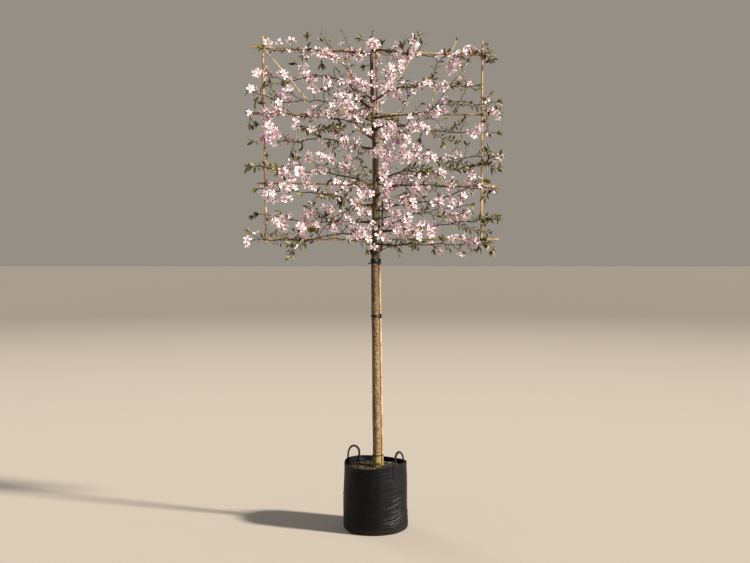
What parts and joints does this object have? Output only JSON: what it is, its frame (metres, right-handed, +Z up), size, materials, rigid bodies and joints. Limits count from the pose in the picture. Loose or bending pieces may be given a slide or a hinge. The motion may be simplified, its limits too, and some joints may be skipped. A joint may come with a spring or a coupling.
{
  "type": "pleached almond tree in a planting bag",
  "caption": "Flowering almond trained flat on a bamboo frame, on a clear trunk, in a black planting bag with two carrying straps.",
  "frame": {"origin": "centre of the bag's flat underside", "axes": "+Z up, +X to the right along the frame as seen from the front, +Y to the back"},
  "size_m": [1.5493, 0.3832, 2.9799],
  "materials": {
    "bag_plastic": "satin black woven plastic film, soft and creased",
    "webbing": "flat black woven strap",
    "compost": "moist bark compost with paler chips",
    "trunk_bark": "smooth greenish-tan bark with dark pores",
    "bough_bark": "grey-brown young bark",
    "bamboo": "pale dry bamboo",
    "tie_rubber": "black flexible tree tie",
    "blossom_and_leaf": "pale pink petals, olive young leaves and dark twigs"
  },
  "bodies": {
    "root": {"bag": "bag_plastic", "compost": "compost", "handle_left": "webbing", "handle_right": "webbing", "trunk": "trunk_bark", "bough_left_01": "bough_bark", "bough_left_03": "bough_bark", "bough_left_04": "bough_bark", "bough_left_05": "bough_bark", "bough_left_06": "bough_bark", "bough_left_07": "bough_bark", "bough_left_08": "bough_bark", "bough_left_09": "bough_bark", "bough_left_10": "bough_bark", "bough_right_01": "bough_bark", "bough_right_03": "bough_bark", "bough_right_04": "bough_bark", "bough_right_05": "bough_bark", "bough_right_07": "bough_bark", "bough_right_08": "bough_bark", "bough_right_09": "bough_bark", "bough_right_10": "bough_bark", "bough_right_12": "bough_bark", "bough_right_13": "bough_bark", "cane_centre": "bamboo", "cane_left": "bamboo", "cane_level_1": "bamboo", "cane_level_2": "bamboo", "cane_level_3": "bamboo", "cane_level_4": "bamboo", "cane_right": "bamboo", "mass_leader": "blossom_and_leaf", "mass_left_01": "blossom_and_leaf", "mass_left_02": "blossom_and_leaf", "mass_left_03": "blossom_and_leaf", "mass_left_04": "blossom_and_leaf", "mass_left_05": "blossom_and_leaf", "mass_left_06": "blossom_and_leaf", "mass_left_07": "blossom_and_leaf", "mass_left_08": "blossom_and_leaf", "mass_left_09": "blossom_and_leaf", "mass_left_10": "blossom_and_leaf", "mass_right_01": "blossom_and_leaf", "mass_right_02": "blossom_and_leaf", "mass_right_03": "blossom_and_leaf", "mass_right_04": "blossom_and_leaf", "mass_right_05": "blossom_and_leaf", "mass_right_06": "blossom_and_leaf", "mass_right_07": "blossom_and_leaf", "mass_right_08": "blossom_and_leaf", "mass_right_09": "blossom_and_leaf", "mass_right_10": "blossom_and_leaf", "mass_right_11": "blossom_and_leaf", "mass_right_12": "blossom_and_leaf", "mass_right_13": "blossom_and_leaf", "tie_crown": "tie_rubber", "tie_foot": "tie_rubber", "tie_middle": "tie_rubber", "tie_upper": "tie_rubber"}
  },
  "joints": []
}
